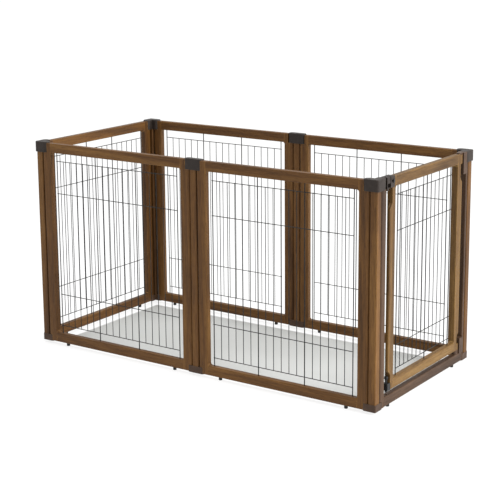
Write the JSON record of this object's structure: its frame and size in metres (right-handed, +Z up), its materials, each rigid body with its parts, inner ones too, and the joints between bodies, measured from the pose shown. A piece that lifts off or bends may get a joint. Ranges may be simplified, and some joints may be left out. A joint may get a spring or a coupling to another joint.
{
  "type": "pet playpen",
  "caption": "Rectangular folding pet pen of wood-framed wire panels on double-pivot posts, with a swinging wire door in one end.",
  "frame": {"origin": "on the floor, in the middle of the pen", "axes": "+Z up, +X along the length to the gate end, -Y to the front"},
  "size_m": [1.505, 0.715, 0.804],
  "materials": {
    "wood": "brown stained hardwood, satin",
    "wire": "dark coated steel wire",
    "dark_plastic": "dark brown moulded plastic",
    "brown_plastic": "wood-brown moulded plastic",
    "steel": "plain steel",
    "foot_rubber": "black rubber",
    "black_plastic": "black moulded plastic"
  },
  "bodies": {
    "left_end_panel": {"left_end_stiles": "wood", "left_end_top_rail": "wood", "left_end_bottom_rail": "wood", "left_end_grid": "wire", "left_end_feet": "foot_rubber"},
    "front_left_corner_joint": {"front_left_corner_post": "wood", "front_left_corner_top_cap": "dark_plastic", "front_left_corner_bottom_cap": "brown_plastic"},
    "front_left_panel": {"front_left_stiles": "wood", "front_left_top_rail": "wood", "front_left_bottom_rail": "wood", "front_left_grid": "wire", "front_left_feet": "foot_rubber"},
    "front_middle_joint": {"front_mid_post": "wood", "front_mid_top_cap": "dark_plastic", "front_mid_bottom_cap": "brown_plastic"},
    "front_right_panel": {"front_right_stiles": "wood", "front_right_top_rail": "wood", "front_right_bottom_rail": "wood", "front_right_grid": "wire", "front_right_feet": "foot_rubber"},
    "front_right_corner_joint": {"front_right_corner_post": "wood", "front_right_corner_top_cap": "dark_plastic", "front_right_corner_bottom_cap": "brown_plastic"},
    "gate_frame": {"gate_stiles": "wood", "gate_threshold": "wood", "gate_feet": "foot_rubber", "gate_keeper": "dark_plastic", "strike_plate": "steel", "top_hinge_bracket": "dark_plastic", "bottom_hinge_bracket": "dark_plastic", "hinge_pins": "steel"},
    "rear_left_corner_joint": {"rear_left_corner_post": "wood", "rear_left_corner_top_cap": "dark_plastic", "rear_left_corner_bottom_cap": "brown_plastic"},
    "rear_left_panel": {"rear_left_stiles": "wood", "rear_left_top_rail": "wood", "rear_left_bottom_rail": "wood", "rear_left_grid": "wire", "rear_left_feet": "foot_rubber"},
    "rear_middle_joint": {"rear_mid_post": "wood", "rear_mid_top_cap": "dark_plastic", "rear_mid_bottom_cap": "brown_plastic"},
    "rear_right_panel": {"rear_right_stiles": "wood", "rear_right_top_rail": "wood", "rear_right_bottom_rail": "wood", "rear_right_grid": "wire", "rear_right_feet": "foot_rubber"},
    "rear_right_corner_joint": {"rear_right_corner_post": "wood", "rear_right_corner_top_cap": "dark_plastic", "rear_right_corner_bottom_cap": "brown_plastic"},
    "door": {"door_latch_stile": "wood", "door_hinge_stile": "wood", "door_top_rail": "wood", "door_bottom_rail": "wood", "door_grid": "wire", "latch_housing": "dark_plastic", "drop_bolt_housing": "black_plastic"},
    "latch_bolt": {"latch_bolt": "steel"},
    "drop_bolt": {"drop_bolt": "black_plastic"}
  },
  "joints": [
    {"name": "fold", "type": "hinge", "parent": "left_end_panel", "child": "front_left_corner_joint", "pos_m": [-0.7365, -0.313, 0.4], "axis": [0, 0, -1], "range_deg": [0, 45]},
    {"name": "front_left_panel_pivot", "type": "hinge", "parent": "front_left_corner_joint", "child": "front_left_panel", "pos_m": [-0.708, -0.3415, 0.4], "axis": [0, 0, -1], "range_deg": [0, 45]},
    {"name": "front_middle_left_pivot", "type": "hinge", "parent": "front_left_panel", "child": "front_middle_joint", "pos_m": [-0.025, -0.3415, 0.4], "axis": [0, 0, 1], "range_deg": [0, 90]},
    {"name": "front_middle_right_pivot", "type": "hinge", "parent": "front_middle_joint", "child": "front_right_panel", "pos_m": [0.025, -0.3415, 0.4], "axis": [0, 0, 1], "range_deg": [0, 90]},
    {"name": "front_right_panel_pivot", "type": "hinge", "parent": "front_right_panel", "child": "front_right_corner_joint", "pos_m": [0.708, -0.3415, 0.4], "axis": [0, 0, -1], "range_deg": [0, 45]},
    {"name": "gate_front_pivot", "type": "hinge", "parent": "front_right_corner_joint", "child": "gate_frame", "pos_m": [0.7365, -0.313, 0.4], "axis": [0, 0, -1], "range_deg": [0, 45]},
    {"name": "rear_left_corner_pivot", "type": "hinge", "parent": "left_end_panel", "child": "rear_left_corner_joint", "pos_m": [-0.7365, 0.313, 0.4], "axis": [0, 0, 1], "range_deg": [0, 45]},
    {"name": "rear_left_panel_pivot", "type": "hinge", "parent": "rear_left_corner_joint", "child": "rear_left_panel", "pos_m": [-0.708, 0.3415, 0.4], "axis": [0, 0, 1], "range_deg": [0, 45]},
    {"name": "rear_middle_left_pivot", "type": "hinge", "parent": "rear_left_panel", "child": "rear_middle_joint", "pos_m": [-0.025, 0.3415, 0.4], "axis": [0, 0, -1], "range_deg": [0, 90]},
    {"name": "rear_middle_right_pivot", "type": "hinge", "parent": "rear_middle_joint", "child": "rear_right_panel", "pos_m": [0.025, 0.3415, 0.4], "axis": [0, 0, -1], "range_deg": [0, 90]},
    {"name": "rear_right_panel_pivot", "type": "hinge", "parent": "rear_right_panel", "child": "rear_right_corner_joint", "pos_m": [0.708, 0.3415, 0.4], "axis": [0, 0, 1], "range_deg": [0, 45]},
    {"name": "door_hinge", "type": "hinge", "parent": "gate_frame", "child": "door", "pos_m": [0.7365, 0.264, 0.4], "axis": [0, 0, 1], "range_deg": [0, 90]},
    {"name": "latch_slide", "type": "slide", "parent": "door", "child": "latch_bolt", "axis": [0, -1, 0], "range_m": [0, 0.01]},
    {"name": "drop_bolt_slide", "type": "slide", "parent": "door", "child": "drop_bolt", "axis": [0, 0, -1], "range_m": [0, 0.0135]}
  ],
  "couplings": [
    {"joint": "front_left_panel_pivot", "follows": "fold", "ratio": 1},
    {"joint": "front_middle_left_pivot", "follows": "fold", "ratio": 2},
    {"joint": "front_middle_right_pivot", "follows": "fold", "ratio": 2},
    {"joint": "front_right_panel_pivot", "follows": "fold", "ratio": 1},
    {"joint": "gate_front_pivot", "follows": "fold", "ratio": 1},
    {"joint": "rear_left_corner_pivot", "follows": "fold", "ratio": 1},
    {"joint": "rear_left_panel_pivot", "follows": "fold", "ratio": 1},
    {"joint": "rear_middle_left_pivot", "follows": "fold", "ratio": 2},
    {"joint": "rear_middle_right_pivot", "follows": "fold", "ratio": 2},
    {"joint": "rear_right_panel_pivot", "follows": "fold", "ratio": 1}
  ]
}
